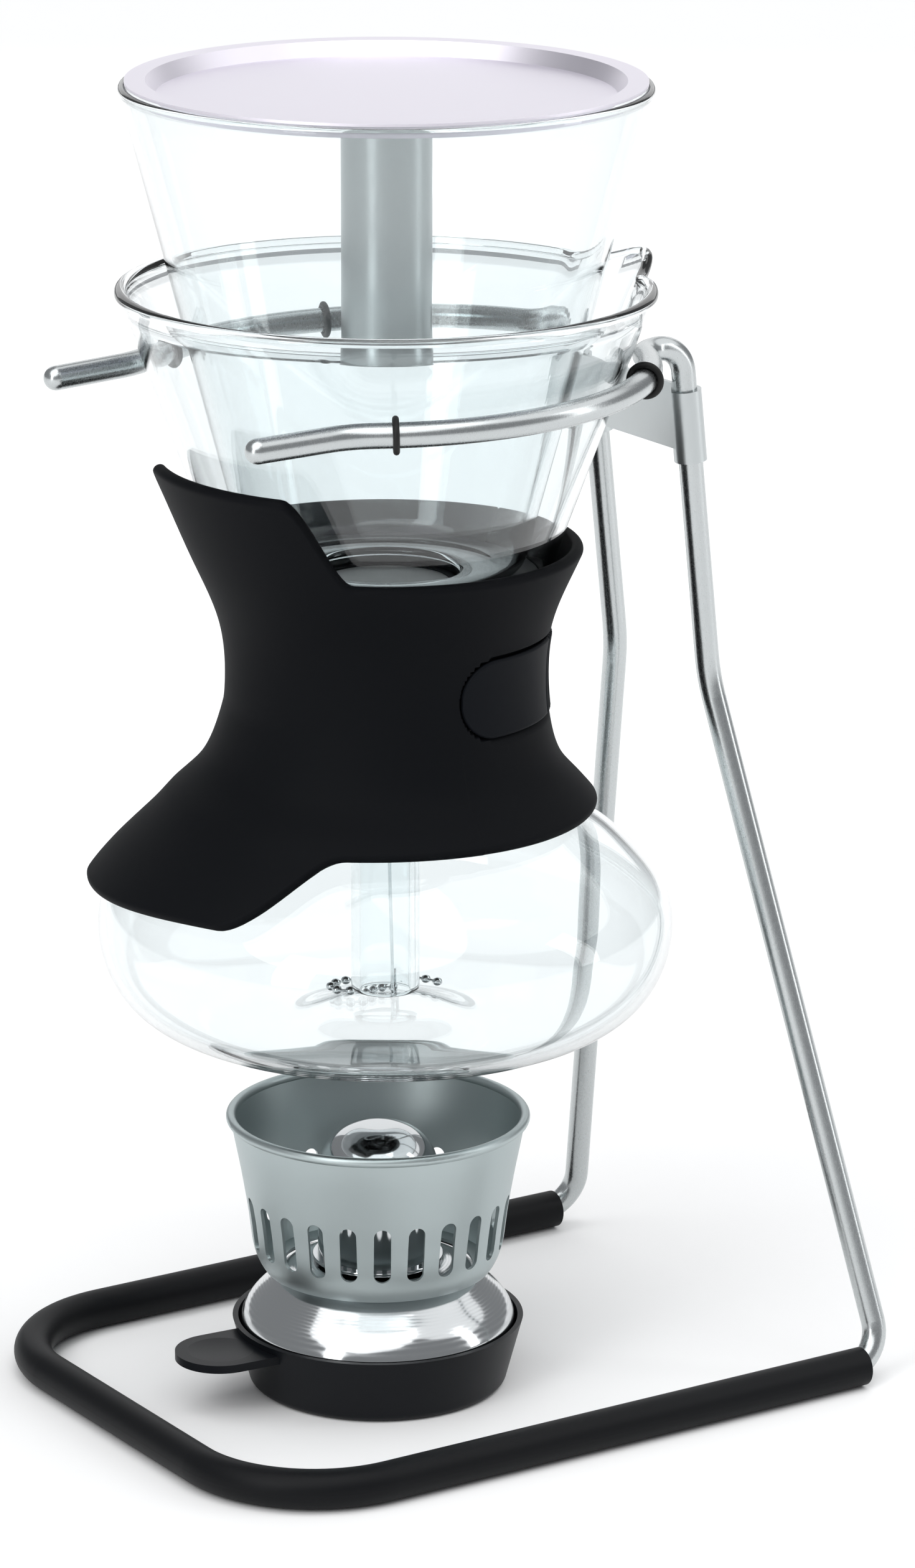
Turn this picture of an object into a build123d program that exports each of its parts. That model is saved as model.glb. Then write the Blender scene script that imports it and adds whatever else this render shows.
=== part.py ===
"""Siphon coffee maker: a glass carafe hung in a bent-rod stand over a spirit burner,
with an upper brewing bowl, a spring-held filter, a lid and a rubber hand grip.

Units are millimetres. Z = 0 is the table. The glass axis is X = Y = 0. +X is the rear,
where the legs stand, and -X is the open front of the fork. Near pieces have negative Y.
"""
from build123d import *
import math
import os

os.makedirs("parts", exist_ok=True)

# ---------------------------------------------------------------- driving dimensions
# stand
ROD_R = 3.5                 # stainless rod, 7 mm
FOOT_R = 5.6                # rubber tube over the base
BASE_FRONT_X = -88.0        # centreline of the front bar
BASE_HALF_Y = 80.0          # centreline of each base arm
BASE_CORNER_R = 38.0
FOOT_END_X = 113.2          # where the rubber ends
LEG_CORNER_X = 121.0
LEG_CORNER_R = 11.0
LEG_KNEE_Z = 203.0
LEG_KNEE_R = 45.0
LEG_HALF_Y = 23.5           # legs above the knee
FORK_Z = 298.3              # fork height on the glass axis
FORK_RISE = 2.06            # degrees, towards the rear
FORK_R = 72.9               # arms follow the glass on this radius
FORK_CENTRE_X = 0.8
FORK_FRONT_ANGLE = 125.0    # polar angle where the arc ends at the front
FORK_FRONT_BEND_R = 25.0
FORK_FRONT_TURN = 31.8
FORK_TIP_LENGTH = 21.0
FORK_REAR_BEND_R = 9.0
OVERBEND_R = 8.5
LEG_LEAN = 6.56             # degrees, legs above the knee
JOINT_Z = 278.0             # arm and leg rods meet inside the collar
COLLAR_R = 4.7
COLLAR_LOW_Z = 267.5
COLLAR_HIGH_Z = 288.3
PLATE_LOW_Z = 271.7
PLATE_HIGH_Z = 291.3
SHEET = 1.2
RING_WIRE_R = 0.92          # rubber rings on the arms
RING_ANGLES = {"arm_ring_near_front": -121.0, "arm_ring_near_rear": -46.5,
               "arm_ring_far_front": 121.0, "arm_ring_far_rear": 73.0}

# lower bowl
CARAFE_RIM_Z = 321.8
CARAFE_RIM_R = 73.8
CARAFE_BEAD_R = 1.65
CARAFE_WALL = 2.2
CARAFE_CONE_LOW = (49.6, 252.0)
CARAFE_WAIST = [(45.3, 238.0), (42.3, 223.0), (41.6, 209.0), (44.6, 191.0), (53.0, 175.5),
                (63.5, 166.6), (73.5, 157.3), (79.8, 149.0), (81.9, 141.0), (80.6, 130.0),
                (74.5, 119.0), (64.0, 111.8), (50.0, 108.4)]
CARAFE_FLOOR = (34.0, 107.6)
CARAFE_PUNT_R = 23.0        # raised middle of the floor
CARAFE_PUNT_RISE = 4.0
SPOUT_ANGLE = -8.0
SPOUT_ROOT = (65.0, 297.0)
SPOUT_CENTRE_R = 64.5
SPOUT_R = 15.5
SPOUT_RISE = 4.5

# upper bowl
BOWL_RIM_Z = 378.7
BOWL_RIM_R = 73.9
BOWL_SLOPE = 0.262          # radius gained per millimetre of height
BOWL_WALL = 2.2
BOWL_FLOOR_Z = 241.9        # underside of the flat ring of the floor
BOWL_CORNER_R = 9.0
WELL_R = 23.0               # outside of the well that the filter sits in
WELL_LOW_Z = 235.8
STEM_R = 9.8
STEM_BORE_R = 7.1
STEM_END_Z = 118.2
GASKET_TOP_Z = 241.5
GASKET_LOW_Z = 219.0
GASKET_GAP = 0.35

# lid
LID_TOP_Z = 381.0
LID_R = 72.2
LID_SHEET = 0.8
LID_STEP_R = 66.4           # top of the pressed step
LID_STEP_RUN = 2.8
LID_STEP_DROP = 4.0
LID_TUBE_R = 12.65
LID_TUBE_WALL = 1.2
LID_TUBE_LOW_Z = 305.5

# filter
FILTER_R = 19.4
FILTER_Z = 238.6
SEAL_R = 20.4
SPRING_LOW_Z = 200.0
SPRING_WIRE_R = 0.4
SPRING_COIL_R = 4.2
SPRING_TURNS = 11
HOOK_WIRE_R = 0.5
HOOK_ANGLE = 38.0           # side of the stem where the hook is caught
HOOK_BEND_R = 2.1
HOOK_BEND_Z = 117.5
CHAIN_R = 1.45
CHAIN_ROUTE = [(9.0, 7.6, 116.0), (9.0, 11.0, 115.8), (4.6, 12.2, 115.7), (-1.6, 8.8, 115.7),
               (-8.4, 11.0, 115.7), (-8.6, 17.4, 115.7), (-2.0, 20.6, 115.7),
               (6.4, 19.4, 115.7), (14.2, 16.6, 115.7), (20.0, 10.8, 115.7), (22.0, 4.4, 115.2)]

# grip sleeve
SLEEVE_WALL = 3.6
SLEEVE_OUTER = [(71.5, 285.0), (62.9, 266.0), (54.6, 246.5), (47.2, 228.5), (45.4, 212.0),
                (46.6, 199.0), (52.0, 187.0), (60.0, 179.3), (67.0, 173.3), (78.0, 162.6),
                (86.6, 151.0)]
SLEEVE_TOP_Z = 249.5
SLEEVE_LOW_Z = 174.0
WING_TOP_ANGLE = -174.0
WING_TOP_HALF = 34.0
WING_TOP_Z = 276.0
WING_TOP_CROWN = 4.0
WING_TOP_ROUND = 11.0
WING_LOW_ANGLE = -185.0
WING_LOW_HALF = 46.0
WING_LOW_Z = 156.0
WING_LOW_CROWN = 4.0
WING_LOW_ROUND = 7.0
SLEEVE_SLIT_ANGLE = 16.0
SLEEVE_SLIT = 1.2
STRAP_Z = 213.7
STRAP_HALF = 11.2
STRAP_R = 46.5              # radius that the rounded end is laid out on
STRAP_PROUD = 0.6
STRAP_FLARE = 0.6           # part of the sleeve's flare that the strap follows
STRAP_WALL = 1.3
STRAP_BED = 1.9             # depth of the recess that the strap and its patch lie in
STRAP_END_ANGLE = -95.0
STRAP_ROOT_ANGLE = 5.0
PATCH_WALL = 0.7

# burner
BURNER_X = -1.7
BURNER_Y = 1.1
TRAY_TOP_Z = 19.6
TRAY_TOP_R = 42.2
TRAY_LOW_R = 37.0           # side and floor drawn on to their corner
TRAY_ROUND = 2.6
TRAY_WALL = 1.6
TAB_ANGLE = 176.0
TAB_REACH = 64.4
TAB_HALF = 13.0
TAB_THICK = 2.4
TAB_TOP_Z = 17.5
TAB_THUMB_R = 9.5           # shallow round seat for the thumb
TANK_R = 39.8
TANK_RIM_Z = 19.2
TANK_SIDE = [(38.6, 22.6), (36.0, 26.2), (32.2, 30.0), (28.4, 33.4)]
TANK_SHOULDER = (20.0, 36.4)
TANK_NECK_R = 9.0
TANK_NECK_Z = 42.0
SHIELD_RIM_Z = 81.8
SHIELD_RIM_R = 43.8
SHIELD_BEAD_R = 1.4
SHIELD_WALL = 1.0
SHIELD_SIDE = [(42.6, 80.4), (41.3, 73.5), (39.8, 66.0), (38.4, 58.0), (37.2, 50.0),
               (35.8, 41.0), (32.9, 35.0)]
SHIELD_HOLE_R = 27.5
SLOT_COUNT = 24
SLOT_WIDTH = 4.9
SLOT_LOW_Z = 42.0
SLOT_HIGH_Z = 58.8
SLOT_FIRST_ANGLE = -120.5
CAP_R = 17.4
CAP_WALL = 0.8
CAP_LOW_Z = 37.4
CAP_TOP_Z = 77.4
CAP_DOME_R = 13.5
CAP_FLANGE_R = 19.0
COLLAR_TOP_Z = 45.0         # threaded wick holder
COLLAR_OUT_R = 12.6
WICK_TUBE_R = 4.6
WICK_TUBE_BORE_R = 3.7
WICK_TUBE_LOW_Z = 30.0
WICK_TUBE_TOP_Z = 56.0
WICK_R = 3.4
WICK_LOW_Z = 6.0
WICK_TOP_Z = 61.0


# ---------------------------------------------------------------- helpers
def polar(radius, degrees, z=0.0):
    """Point at a polar angle about the glass axis."""
    angle = math.radians(degrees)
    return Vector(radius * math.cos(angle), radius * math.sin(angle), z)


def bar(path, radius):
    """Round bar swept along a path."""
    start = Plane(origin=path @ 0, z_dir=path % 0)
    return sweep(start * Circle(radius), path=path)


def turned(points):
    """Solid of revolution of a closed (radius, z) outline about the glass axis."""
    outline = Plane.XZ * make_face(Polyline(*points, close=True))
    return revolve(outline, Axis.Z)


def turned_curve(edges):
    """Solid of revolution of a closed outline made of edges in the XZ plane."""
    return revolve(make_face(Plane.XZ * Wire(edges)), Axis.Z)


def inset(points, wall):
    """Outline points moved inwards along the local normal; points run downwards."""
    moved = []
    last = len(points) - 1
    for i, (r, z) in enumerate(points):
        r0, z0 = points[max(i - 1, 0)]
        r1, z1 = points[min(i + 1, last)]
        run = math.hypot(r1 - r0, z1 - z0)
        moved.append((r + wall * (z1 - z0) / run, z - wall * (r1 - r0) / run))
    return moved


def shift_burner(shape):
    """Burner pieces stand a little off the glass axis."""
    return Pos(BURNER_X, BURNER_Y, 0) * shape


def save(name, shape):
    shape.label = name
    export_step(shape, f"parts/{name}.step")


# ---------------------------------------------------------------- stand
def fork_plane():
    rise = math.radians(FORK_RISE)
    return Plane(origin=(0, 0, FORK_Z), x_dir=(math.cos(rise), 0, math.sin(rise)),
                 z_dir=(-math.sin(rise), 0, math.cos(rise)))


def rear_angle():
    """Polar angle where the rear bend leaves the arc so that it ends on the leg's Y."""
    sine = (LEG_HALF_Y + FORK_REAR_BEND_R) / (FORK_R + FORK_REAR_BEND_R)
    return math.degrees(math.asin(sine))


def overbend_start():
    """X and Z where the arm leaves the fork plane."""
    reach = (FORK_R + FORK_REAR_BEND_R) * math.cos(math.radians(rear_angle()))
    point = fork_plane().from_local_coords(Vector(FORK_CENTRE_X + reach, 0, 0))
    return point.X, point.Z


def leg_line():
    """Top of the straight leg, where the over-bend ends, and the leg's direction."""
    x, z = overbend_start()
    rise = math.radians(FORK_RISE)
    lean = math.radians(LEG_LEAN)
    centre_x = x + OVERBEND_R * math.sin(rise)
    centre_z = z - OVERBEND_R * math.cos(rise)
    top = Vector(centre_x + OVERBEND_R * math.cos(lean), 0, centre_z + OVERBEND_R * math.sin(lean))
    return top, Vector(math.sin(lean), 0, -math.cos(lean))


def leg_point(z, side):
    top, down = leg_line()
    step = (z - top.Z) / down.Z
    return Vector(top.X + down.X * step, side * LEG_HALF_Y, z)


def arm(side):
    """One arm of the fork: drop into the collar, over-bend, arc round the glass, tip."""
    fork = fork_plane()
    rear = rear_angle()
    x, z = overbend_start()
    arc = CenterArc((FORK_CENTRE_X, 0), FORK_R, side * rear, side * (FORK_FRONT_ANGLE - rear))
    rear_bend = JernArc(arc @ 0, -(arc % 0), FORK_REAR_BEND_R, side * (90 - rear))
    front_bend = JernArc(arc @ 1, arc % 1, FORK_FRONT_BEND_R, -side * FORK_FRONT_TURN)
    tip = Line(front_bend @ 1, front_bend @ 1 + (front_bend % 1) * FORK_TIP_LENGTH)
    rise = math.radians(FORK_RISE)
    bend_plane = Plane(origin=(x + OVERBEND_R * math.sin(rise), side * LEG_HALF_Y,
                               z - OVERBEND_R * math.cos(rise)), x_dir=(1, 0, 0), z_dir=(0, -1, 0))
    over = bend_plane * CenterArc((0, 0), OVERBEND_R, LEG_LEAN, 90 + FORK_RISE - LEG_LEAN)
    drop = Line(leg_point(JOINT_Z, side), leg_point(leg_line()[0].Z, side))
    path = Wire([drop, over, fork * rear_bend, fork * arc, fork * front_bend, fork * tip])
    if (path @ 0 - leg_point(JOINT_Z, side)).length > 1:
        path = Wire(path.wrapped.Reversed())
    dome = Pos(*(path @ 1)) * Sphere(ROD_R)
    return bar(path, ROD_R) + dome


def fork_location(degrees):
    """Plane across the rod at a polar angle on the fork's arc."""
    fork = fork_plane()
    centre = Vector(FORK_CENTRE_X, 0, 0) + polar(FORK_R, degrees)
    tangent = polar(1, degrees + 90)
    origin = fork.from_local_coords(centre)
    along = fork.from_local_coords(centre + tangent) - origin
    return Plane(origin=origin, z_dir=along)


def arm_ring(degrees):
    ring = fork_location(degrees) * Torus(ROD_R + RING_WIRE_R, RING_WIRE_R)
    return ring


def stand_path():
    near = [leg_point(JOINT_Z, -1), leg_point(LEG_KNEE_Z, -1),
            Vector(LEG_CORNER_X, -BASE_HALF_Y, FOOT_R), Vector(BASE_FRONT_X, -BASE_HALF_Y, FOOT_R)]
    far = [Vector(p.X, -p.Y, p.Z) for p in reversed(near)]
    radii = [LEG_KNEE_R, LEG_CORNER_R, BASE_CORNER_R]
    return FilletPolyline(*near, *far, radius=radii + radii[::-1])


def base_tube(rod):
    path = FilletPolyline((FOOT_END_X, -BASE_HALF_Y, FOOT_R), (BASE_FRONT_X, -BASE_HALF_Y, FOOT_R),
                          (BASE_FRONT_X, BASE_HALF_Y, FOOT_R), (FOOT_END_X, BASE_HALF_Y, FOOT_R),
                          radius=[BASE_CORNER_R, BASE_CORNER_R])
    return bar(path, FOOT_R) - rod


def bracket(rods):
    """Sheet plate between the legs, its ends rolled round both rods."""
    low = leg_point(COLLAR_LOW_Z, 0)
    high = leg_point(COLLAR_HIGH_Z, 0)
    along = Plane(origin=low, x_dir=(0, 1, 0), z_dir=high - low)
    length = (high - low).length
    shape = None
    for side in (-1, 1):
        collar = along * Pos(side * LEG_HALF_Y, 0, length / 2) * Cylinder(COLLAR_R, length)
        shape = collar if shape is None else shape + collar
    plate_low = leg_point(PLATE_LOW_Z, 0)
    plate_high = leg_point(PLATE_HIGH_Z, 0)
    height = (plate_high - plate_low).length
    plane = Plane(origin=plate_low, x_dir=(0, 1, 0), z_dir=plate_high - plate_low)
    # local Y of this plane points to -X
    plate = plane * Pos(0, COLLAR_R - SHEET / 2, height / 2) * Box(2 * LEG_HALF_Y, SHEET, height)
    shape = shape + plate
    for rod in rods:
        shape = shape - rod
    return shape


# ---------------------------------------------------------------- lower bowl
def carafe_profile():
    """Outer outline of the lower bowl from the rim down, as (radius, z)."""
    low_r, low_z = CARAFE_CONE_LOW
    slope = (CARAFE_RIM_R + 0.4 - low_r) / (CARAFE_RIM_Z - low_z)
    cone = [(low_r + slope * (z - low_z), z) for z in (CARAFE_RIM_Z, 300.0, 276.0)]
    return cone + [CARAFE_CONE_LOW] + CARAFE_WAIST + [CARAFE_FLOOR]


def carafe_body(points, floor_lift):
    """Filled body of revolution inside an outline, with the raised middle of the floor."""
    cone_low = 3
    line = Line(points[0], points[cone_low])
    curve = Spline(points[cone_low:], tangents=[line % 1, (-1, 0)])
    floor_z = points[-1][1]
    punt = floor_z + CARAFE_PUNT_RISE + floor_lift
    floor = Spline([points[-1], (CARAFE_PUNT_R - 6, punt), (0, punt)],
                   tangents=[(-1, 0), (-1, 0.0)])
    top = Line((0, points[0][1]), points[0])
    axis = Line((0, punt), (0, points[0][1]))
    return turned_curve([line, curve, floor, axis, top])


def spout_cone(grow):
    """Cone that forms the pulled lip; grow makes the outside larger than the inside."""
    root_r, root_z = SPOUT_ROOT
    top_z = CARAFE_RIM_Z + SPOUT_RISE + 3
    low = Plane(origin=(root_r, 0, root_z)) * Circle(1.0 + grow)
    high = Plane(origin=(SPOUT_CENTRE_R, 0, top_z)) * Circle(SPOUT_R - CARAFE_WALL + grow)
    return Rot(0, 0, SPOUT_ANGLE) * loft([low, high])


def lower_bowl():
    outer_points = carafe_profile()
    inner_points = inset(outer_points, CARAFE_WALL)
    top_r, top_z = inner_points[0]
    inner_points[0] = (top_r, CARAFE_RIM_Z)
    outer = carafe_body(outer_points, 0)
    inner = carafe_body(inner_points, 0)
    bead = Pos(0, 0, CARAFE_RIM_Z) * Torus(CARAFE_RIM_R, CARAFE_BEAD_R)
    lip = spout_cone(CARAFE_WALL)
    mouth = spout_cone(0)
    bowl = outer + bead + lip - inner - mouth
    hollow = Pos(0, 0, CARAFE_RIM_Z + 10) * Cylinder(CARAFE_RIM_R - CARAFE_BEAD_R, 20)
    slope = math.degrees(math.atan2(SPOUT_RISE, 9.0))
    cap = Rot(0, 0, SPOUT_ANGLE) * Pos(CARAFE_RIM_R - 2, 0, CARAFE_RIM_Z + 1.7) * Rot(0, -slope, 0)
    cap = cap * Pos(0, 0, 10) * Box(60, 60, 20)
    return bowl - hollow - cap


# ---------------------------------------------------------------- grip sleeve
def ring_section(outer, inner):
    """Full ring between two outlines that both run downwards."""
    return turned_curve([Spline(outer), Spline(inner), Line(outer[0], inner[0]),
                         Line(outer[-1], inner[-1])])


def wing_mask(degrees, half, base_z, peak_z, crown, corner):
    """Prism that lets one wing of the sleeve through, seen along its middle."""
    sign = 1 if peak_z > base_z else -1
    far_z = STRAP_Z
    side = half + 30
    outline = FilletPolyline((-side, base_z), (-half, base_z), (-half, peak_z - sign * crown),
                             (0, peak_z), (half, peak_z - sign * crown), (half, base_z),
                             (side, base_z), radius=[8, corner, 60, corner, 8])
    closing = Polyline((side, base_z), (side, far_z), (-side, far_z), (-side, base_z))
    face = Plane.YZ * make_face([*outline.edges(), *closing.edges()])
    return Rot(0, 0, degrees) * extrude(face, 100)


def sleeve_radius(z):
    """Outer radius of the sleeve's waist at a height, straight between outline points."""
    for (r0, z0), (r1, z1) in zip(SLEEVE_OUTER, SLEEVE_OUTER[1:]):
        if z1 <= z <= z0:
            return r1 + (r0 - r1) * (z - z1) / (z0 - z1)
    return SLEEVE_OUTER[-1][0]


def waist_band(low, high, start, end, half):
    """Part ring between two distances from the strap's seat, which flares less than the sleeve."""
    levels = [STRAP_Z + half * step / 3 for step in range(3, -4, -1)]
    waist = min(r for r, z in SLEEVE_OUTER)
    seat = [(waist + STRAP_FLARE * (sleeve_radius(z) - waist), z) for z in levels]
    outer = [(r + high, z) for r, z in seat]
    inner = [(r + low, z) for r, z in seat]
    edges = [Spline(outer), Spline(inner), Line(outer[0], inner[0]), Line(outer[-1], inner[-1])]
    section = Rot(0, 0, start) * (Plane.XZ * make_face(edges))
    return revolve(section, Axis.Z, revolution_arc=end - start)


def tongue(low, high, grow, root_grow):
    """Band with a rounded free end; the recess is the strap's shape grown by a little."""
    half = STRAP_HALF + grow
    middle = STRAP_END_ANGLE + math.degrees(STRAP_HALF / STRAP_R)
    rest = waist_band(low, high, middle, STRAP_ROOT_ANGLE + root_grow, half)
    end = waist_band(low, high, STRAP_END_ANGLE - 3, middle + 3, half)
    rounding = Pos(STRAP_R, 0, STRAP_Z) * Rot(0, 90, 0) * Cylinder(half, 20)
    return rest + (end & (Rot(0, 0, middle) * rounding))


def grip_sleeve():
    shell = ring_section(SLEEVE_OUTER, inset(SLEEVE_OUTER, SLEEVE_WALL))
    band_height = SLEEVE_TOP_Z - SLEEVE_LOW_Z
    band = Pos(0, 0, SLEEVE_LOW_Z + band_height / 2) * Cylinder(100, band_height)
    high = wing_mask(WING_TOP_ANGLE, WING_TOP_HALF, SLEEVE_TOP_Z, WING_TOP_Z, WING_TOP_CROWN,
                     WING_TOP_ROUND)
    low = wing_mask(WING_LOW_ANGLE, WING_LOW_HALF, SLEEVE_LOW_Z, WING_LOW_Z, WING_LOW_CROWN,
                    WING_LOW_ROUND)
    bed = tongue(-STRAP_BED, 6, 0.6, 2)
    slit = Rot(0, 0, SLEEVE_SLIT_ANGLE) * Pos(60, 0, 220) * Box(80, SLEEVE_SLIT, 200)
    return (shell & (band + high + low)) - bed - slit


def sleeve_strap():
    return tongue(STRAP_PROUD - STRAP_WALL, STRAP_PROUD, 0, 0)


def fastening_patch():
    floor = 0.15 - STRAP_BED
    return waist_band(floor, floor + PATCH_WALL, STRAP_END_ANGLE + 4,
                      STRAP_END_ANGLE + 26, STRAP_HALF - 3)


# ---------------------------------------------------------------- upper bowl, lid, filter
def bowl_radius(z):
    return BOWL_RIM_R - BOWL_SLOPE * (BOWL_RIM_Z - z)


def bowl_outer():
    """Outer outline: cone, round corner, flat ring, well and stem."""
    return FilletPolyline((BOWL_RIM_R, BOWL_RIM_Z), (bowl_radius(BOWL_FLOOR_Z), BOWL_FLOOR_Z),
                          (WELL_R, BOWL_FLOOR_Z), (WELL_R, WELL_LOW_Z), (STEM_R, WELL_LOW_Z),
                          (STEM_R, STEM_END_Z), radius=[BOWL_CORNER_R, 1.5, 3.0, 2.0])


def upper_bowl():
    """Cone with a flat ring, a well and a stem, one even wall of glass."""
    side_wall = BOWL_WALL * math.hypot(1, BOWL_SLOPE)
    floor_z = BOWL_FLOOR_Z + BOWL_WALL
    well_z = WELL_LOW_Z + BOWL_WALL
    well_r = WELL_R - BOWL_WALL
    outer = bowl_outer()
    inner = FilletPolyline((BOWL_RIM_R - side_wall, BOWL_RIM_Z),
                           (bowl_radius(floor_z) - side_wall, floor_z), (well_r, floor_z),
                           (well_r, well_z), (STEM_BORE_R, well_z), (STEM_BORE_R, STEM_END_Z),
                           radius=[BOWL_CORNER_R - BOWL_WALL, 1.5, 1.0, 2.0])
    glass = turned_curve([*outer.edges(), *inner.edges(), Line(outer @ 0, inner @ 0),
                          Line(outer @ 1, inner @ 1)])
    rim = Pos(0, 0, BOWL_RIM_Z) * Torus(BOWL_RIM_R - BOWL_WALL / 2, BOWL_WALL / 2)
    return glass + rim


def bowl_gasket():
    """Soft stopper under the bowl that closes the neck of the carafe."""
    fit = carafe_body(inset(carafe_profile(), CARAFE_WALL + GASKET_GAP), 0)
    height = GASKET_TOP_Z - GASKET_LOW_Z
    slab = Pos(0, 0, GASKET_LOW_Z + height / 2) * Cylinder(60, height)
    outer = bowl_outer()
    filled = turned_curve([*outer.edges(), Line((0, STEM_END_Z), outer @ 1),
                           Line((0, STEM_END_Z), (0, BOWL_RIM_Z)), Line((0, BOWL_RIM_Z), outer @ 0)])
    return (fit & slab) - filled


def lid_plate():
    """One pressed sheet: flange, sloping step and a lower flat panel."""
    sheet = LID_SHEET
    under = LID_TOP_Z - sheet
    panel = LID_TOP_Z - LID_STEP_DROP
    foot_r = LID_STEP_R - LID_STEP_RUN
    return turned([(0, panel), (foot_r, panel), (LID_STEP_R, LID_TOP_Z), (LID_R, LID_TOP_Z),
                   (LID_R, under), (LID_STEP_R + 0.5, under), (foot_r + 0.5, panel - sheet),
                   (0, panel - sheet)])


def lid_tube():
    top = LID_TOP_Z - LID_STEP_DROP - LID_SHEET
    height = top - LID_TUBE_LOW_Z
    tube = Cylinder(LID_TUBE_R, height) - Cylinder(LID_TUBE_R - LID_TUBE_WALL, height)
    lip = Torus(LID_TUBE_R - 0.5, 0.9)
    return Pos(0, 0, LID_TUBE_LOW_Z + height / 2) * tube + Pos(0, 0, LID_TUBE_LOW_Z) * lip


def filter_screen():
    return Pos(0, 0, FILTER_Z + 0.6) * Cylinder(FILTER_R, 0.8)


def filter_seal():
    """Silicone rim that grips the edge of the screen."""
    low = FILTER_Z
    lip = FILTER_R - 1.0
    return turned([(lip, low), (SEAL_R, low), (SEAL_R, low + 1.4), (lip, low + 1.4),
                   (lip, low + 1.0), (FILTER_R, low + 1.0), (FILTER_R, low + 0.2),
                   (lip, low + 0.2)])


def filter_frame():
    """Hub under the screen that carries the spring."""
    low = FILTER_Z - 3.4
    neck_r = SPRING_COIL_R - SPRING_WIRE_R - 0.4
    plate_r = FILTER_R - 4
    return turned([(0, low), (neck_r, low), (neck_r, FILTER_Z - 0.4), (plate_r, FILTER_Z - 0.4),
                   (plate_r, FILTER_Z + 0.2), (0, FILTER_Z + 0.2)])


def filter_spring():
    high = FILTER_Z - 1.0
    pitch = (high - SPRING_LOW_Z) / SPRING_TURNS
    helix = Pos(0, 0, SPRING_LOW_Z) * Helix(pitch, high - SPRING_LOW_Z, SPRING_COIL_R)
    return bar(helix, SPRING_WIRE_R)


def filter_hook():
    """Wire from the spring down the stem, bent up round the stem's end."""
    centre_r = (STEM_R + STEM_BORE_R) / 2
    inner_r = centre_r - HOOK_BEND_R
    outer_r = centre_r + HOOK_BEND_R
    low_z = HOOK_BEND_Z
    path = FilletPolyline((SPRING_COIL_R, 0, SPRING_LOW_Z - 1.5), (0, 0, SPRING_LOW_Z - 1.5),
                          (0, 0, SPRING_LOW_Z - 10), polar(inner_r, HOOK_ANGLE, low_z + 8),
                          polar(inner_r, HOOK_ANGLE, low_z - HOOK_BEND_R),
                          polar(outer_r, HOOK_ANGLE, low_z - HOOK_BEND_R),
                          polar(outer_r, HOOK_ANGLE, low_z + 6),
                          radius=[1.5, 3.0, 6.0, HOOK_BEND_R * 0.98, HOOK_BEND_R * 0.98])
    return bar(path, HOOK_WIRE_R)


def bend_radii(route):
    """Largest arc at each corner that leaves a straight stretch in both runs."""
    points = [Vector(*p) for p in route]
    radii = []
    for before, corner, after in zip(points, points[1:], points[2:]):
        run = min((corner - before).length, (after - corner).length)
        turn = math.radians((corner - before).get_angle(after - corner))
        radii.append(0.45 * run / math.tan(turn / 2))
    return radii


def filter_chain():
    radii = bend_radii(CHAIN_ROUTE)
    path = FilletPolyline(*CHAIN_ROUTE, radius=radii)
    print("chain length", round(path.length, 1), "bends", [round(r, 1) for r in radii])
    return bar(path, CHAIN_R)


# ---------------------------------------------------------------- burner
def burner_tray():
    """Soft tray that the tank sits in, with a flat tab for the thumb."""
    wall = TRAY_WALL
    rim_out = (TRAY_TOP_R, TRAY_TOP_Z)
    rim_in = (TRAY_TOP_R - wall, TRAY_TOP_Z)
    outline = FilletPolyline((0, 0), (TRAY_LOW_R, 0), rim_out, radius=TRAY_ROUND)
    cavity = FilletPolyline((0, wall), (TRAY_LOW_R - wall, wall), rim_in, radius=TRAY_ROUND - wall)
    cup = turned_curve([*outline.edges(), *cavity.edges(), Line((0, 0), (0, wall)),
                        Line(rim_out, rim_in)])
    root = TRAY_TOP_R - 8
    shape = RectangleRounded(2 * (TAB_REACH - root), 2 * TAB_HALF, TAB_HALF - 0.1)
    tab = Pos(root, 0, TAB_TOP_Z - TAB_THICK / 2) * extrude(shape, TAB_THICK / 2, both=True)
    ball_r = TAB_THUMB_R ** 2 / 1.2
    thumb = Pos(TAB_REACH - TAB_HALF, 0, TAB_TOP_Z + ball_r - 0.6) * Sphere(ball_r)
    filled = Pos(0, 0, TRAY_TOP_Z / 2) * Cone(TRAY_LOW_R - wall, TRAY_TOP_R - wall, TRAY_TOP_Z + 0.1)
    tab = Rot(0, 0, TAB_ANGLE) * (tab - thumb) - filled
    return shift_burner(cup + tab)


def tank_bottom():
    """Lower half of the tank, a plain cup with a little room round it in the tray."""
    wall = 0.8
    low = TRAY_WALL + 0.4
    seam_z = TANK_RIM_Z - 0.7
    low_r = TRAY_LOW_R - TRAY_WALL - 2.2
    seam_r = TANK_R - 0.4
    return shift_burner(turned([(0, low), (low_r - 3, low), (low_r, low + 3), (seam_r, seam_z),
                                (seam_r - wall, seam_z), (low_r - wall, low + 3.4),
                                (low_r - 3.4, low + wall), (0, low + wall)]))


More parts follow.
